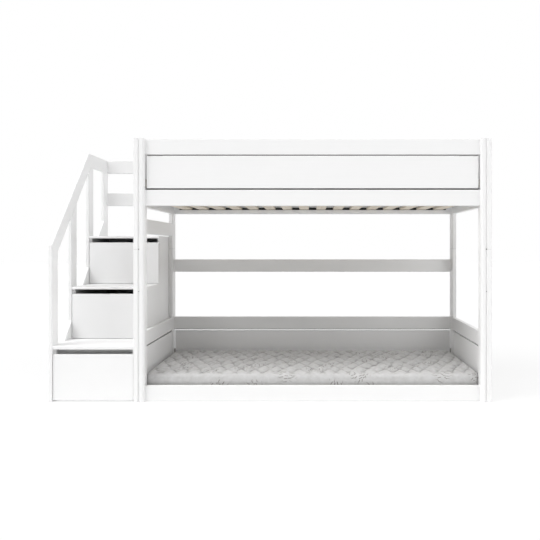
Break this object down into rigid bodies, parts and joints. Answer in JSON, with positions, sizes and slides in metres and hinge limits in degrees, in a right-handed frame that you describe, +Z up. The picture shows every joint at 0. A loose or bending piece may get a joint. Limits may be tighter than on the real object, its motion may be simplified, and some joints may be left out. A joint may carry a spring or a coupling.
{
  "type": "bunk bed with storage stairs",
  "caption": "White bunk bed with guard rails all round, slatted bases, mattresses, and storage stairs with drawers at its left end.",
  "frame": {"origin": "on the floor, at the middle of the whole footprint of bed and stairs", "axes": "+X along the bed's length, away from the stairs; +Y from the open front to the rear; +Z up"},
  "size_m": [2.56, 1.02, 1.524],
  "materials": {
    "white_lacquer": "white satin lacquer on solid wood and board",
    "white_cabinet": "white satin lacquer on board",
    "raw_slat_wood": "sawn and planed softwood, no finish",
    "tenon_wood": "hardwood, stained grey",
    "plate_steel": "zinc plated",
    "mattress_fabric": "light grey jacquard knit, softly quilted"
  },
  "bodies": {
    "bed": {"left_front_post_lower": "white_lacquer", "left_front_post_upper": "white_lacquer", "left_rear_post_lower": "white_lacquer", "left_rear_post_upper": "white_lacquer", "right_front_post_lower": "white_lacquer", "right_front_post_upper": "white_lacquer", "right_rear_post_lower": "white_lacquer", "right_rear_post_upper": "white_lacquer", "left_front_stile": "white_lacquer", "right_front_stile": "white_lacquer", "front_lower_rail": "white_lacquer", "front_upper_rail": "white_lacquer", "front_guard_panel": "white_lacquer", "front_guard_rail": "white_lacquer", "rear_lower_rail": "white_lacquer", "rear_lower_panel": "white_lacquer", "rear_lower_guard_rail": "white_lacquer", "rear_middle_rail": "white_lacquer", "rear_upper_rail": "white_lacquer", "rear_guard_panel": "white_lacquer", "rear_guard_rail": "white_lacquer", "right_lower_rail": "white_lacquer", "right_lower_panel": "white_lacquer", "right_lower_guard_rail": "white_lacquer", "right_upper_rail": "white_lacquer", "right_guard_panel": "white_lacquer", "right_guard_rail": "white_lacquer", "left_lower_rail": "white_lacquer", "left_lower_panel": "white_lacquer", "left_lower_guard_rail": "white_lacquer", "left_stair_board": "white_lacquer", "left_upper_rail": "white_lacquer", "left_guard_panel": "white_lacquer", "left_guard_rail": "white_lacquer", "entrance_post": "white_lacquer", "slat_ledgers": "white_lacquer", "stair_uprights": "white_lacquer", "stair_side_boards": "white_lacquer", "stair_sloped_rail": "white_lacquer", "stair_top_rail": "white_lacquer", "stair_rear_rails": "white_lacquer", "stair_left_side": "white_cabinet", "stair_right_side": "white_cabinet", "stair_back_panel": "white_cabinet", "lower_tread": "white_cabinet", "middle_tread": "white_cabinet", "upper_tread": "white_cabinet", "slot_board": "white_cabinet", "upper_slats": "raw_slat_wood", "lower_slats": "raw_slat_wood", "loose_tenons": "tenon_wood", "drawer_battens": "tenon_wood", "steel_plates": "plate_steel", "upper_mattress": "mattress_fabric", "lower_mattress": "mattress_fabric"},
    "lower_drawer": {"lower_drawer_front": "white_cabinet", "lower_drawer_box": "white_cabinet"},
    "middle_drawer": {"middle_drawer_front": "white_cabinet", "middle_drawer_box": "white_cabinet"},
    "upper_drawer": {"upper_drawer_front": "white_cabinet", "upper_drawer_box": "white_cabinet"}
  },
  "joints": [
    {"name": "lower_drawer_slide", "type": "slide", "parent": "bed", "child": "lower_drawer", "axis": [0, -1, 0], "range_m": [0, 0.45]},
    {"name": "middle_drawer_slide", "type": "slide", "parent": "bed", "child": "middle_drawer", "axis": [0, -1, 0], "range_m": [0, 0.4]},
    {"name": "upper_drawer_slide", "type": "slide", "parent": "bed", "child": "upper_drawer", "axis": [0, -1, 0], "range_m": [0, 0.22]}
  ]
}
